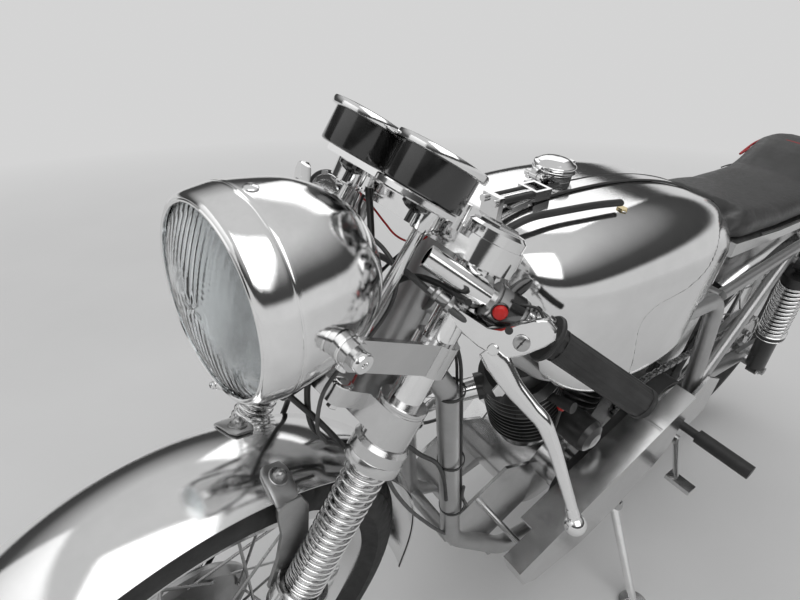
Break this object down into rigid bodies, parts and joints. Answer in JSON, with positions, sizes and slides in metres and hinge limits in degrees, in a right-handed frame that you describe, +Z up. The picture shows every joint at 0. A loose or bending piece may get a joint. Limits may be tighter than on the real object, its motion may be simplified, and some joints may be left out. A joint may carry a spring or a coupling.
{
  "type": "sprint racing motorcycle",
  "caption": "Sprint racing motorcycle with polished alloy tank, vee-twin engine, open belt drive, clip-on bars, hump seat, spoked wheels and a round headlamp, parked on its side stand.",
  "frame": {"origin": "centre of the bounding box at ground level, as parked on the side stand", "axes": "+X towards the front wheel, +Y towards the left side of the machine, +Z up from the ground"},
  "size_m": [2.1253, 0.6477, 1.0095],
  "materials": {
    "black_enamel": "satin",
    "black_rubber": "matte",
    "black_vinyl": "satin",
    "cast_alloy": "satin",
    "chrome": "mirror",
    "lamp_glass": "clear",
    "polished_alloy": "polished",
    "red_lens": "gloss",
    "silver_paint": "satin",
    "steel": "satin",
    "tyre_rubber": "matte"
  },
  "bodies": {
    "chassis": {"air_cleaner": "black_enamel", "belt_pulleys": "steel", "breather_hose": "black_rubber", "crankcase": "cast_alloy", "cylinder_barrels": "black_enamel", "cylinder_heads": "black_enamel", "engine_plates": "polished_alloy", "exhausts": "chrome", "footrests": "black_rubber", "frame_cross_tubes": "silver_paint", "frame_head": "silver_paint", "frame_left_loop": "silver_paint", "frame_right_loop": "silver_paint", "fuel_tank": "polished_alloy", "gearbox": "cast_alloy", "oil_tank": "polished_alloy", "primary_belt": "black_rubber", "primary_guard": "polished_alloy", "pushrod_tubes": "chrome", "rear_chain": "steel", "rear_mudguard": "polished_alloy", "rear_subframe": "silver_paint", "rearset_plates": "silver_paint", "seat_base": "polished_alloy", "seat_pad": "black_vinyl", "shock_bodies": "black_enamel", "shock_springs": "chrome", "spark_plugs": "black_rubber", "swing_arm": "silver_paint", "tail_lamp": "red_lens", "tank_strap": "polished_alloy"},
    "steering": {"clip_on_bars": "chrome", "clocks": "black_enamel", "fork_sliders": "polished_alloy", "fork_springs": "chrome", "fork_stanchions": "chrome", "front_axle": "chrome", "front_mudguard": "polished_alloy", "grips": "black_rubber", "hand_levers": "polished_alloy", "headlamp_brackets": "polished_alloy", "headlamp_lens": "lamp_glass", "headlamp_shell": "chrome", "instrument_plate": "polished_alloy", "lower_yoke": "polished_alloy", "switch_housing": "cast_alloy", "top_yoke": "polished_alloy"},
    "front_wheel": {"front_hub": "cast_alloy", "front_rim": "polished_alloy", "front_spokes": "steel", "front_tyre": "tyre_rubber"},
    "rear_wheel": {"rear_hub": "cast_alloy", "rear_rim": "polished_alloy", "rear_spokes": "steel", "rear_sprocket": "steel", "rear_tyre": "tyre_rubber"},
    "side_stand": {"side_stand": "chrome"},
    "filler_cap": {"filler_cap": "polished_alloy"}
  },
  "joints": [
    {"name": "steering", "type": "hinge", "parent": "chassis", "child": "steering", "pos_m": [0.44888, 0.05228, 0.77861], "axis": [-0.4375, 0.1561, 0.8856], "range_deg": [-30.9, 19.1]},
    {"name": "front_wheel_spin", "type": "hinge", "parent": "steering", "child": "front_wheel", "pos_m": [0.7389, -0.02286, 0.31835], "axis": [-0.0926, 0.9718, -0.217], "continuous": true},
    {"name": "rear_wheel_spin", "type": "hinge", "parent": "chassis", "child": "rear_wheel", "pos_m": [-0.67082, -0.02863, 0.32088], "axis": [-0.0002, 0.9848, -0.1736], "continuous": true},
    {"name": "side_stand_swing", "type": "hinge", "parent": "chassis", "child": "side_stand", "pos_m": [-0.04295, 0.10792, 0.19056], "axis": [0.184, 0.8655, 0.4659], "range_deg": [0, 93.15]},
    {"name": "filler_cap_hinge", "type": "hinge", "parent": "chassis", "child": "filler_cap", "pos_m": [0.23075, 0.03733, 0.88409], "axis": [-0.0002, 0.9848, -0.1736], "range_deg": [0, 100]}
  ]
}
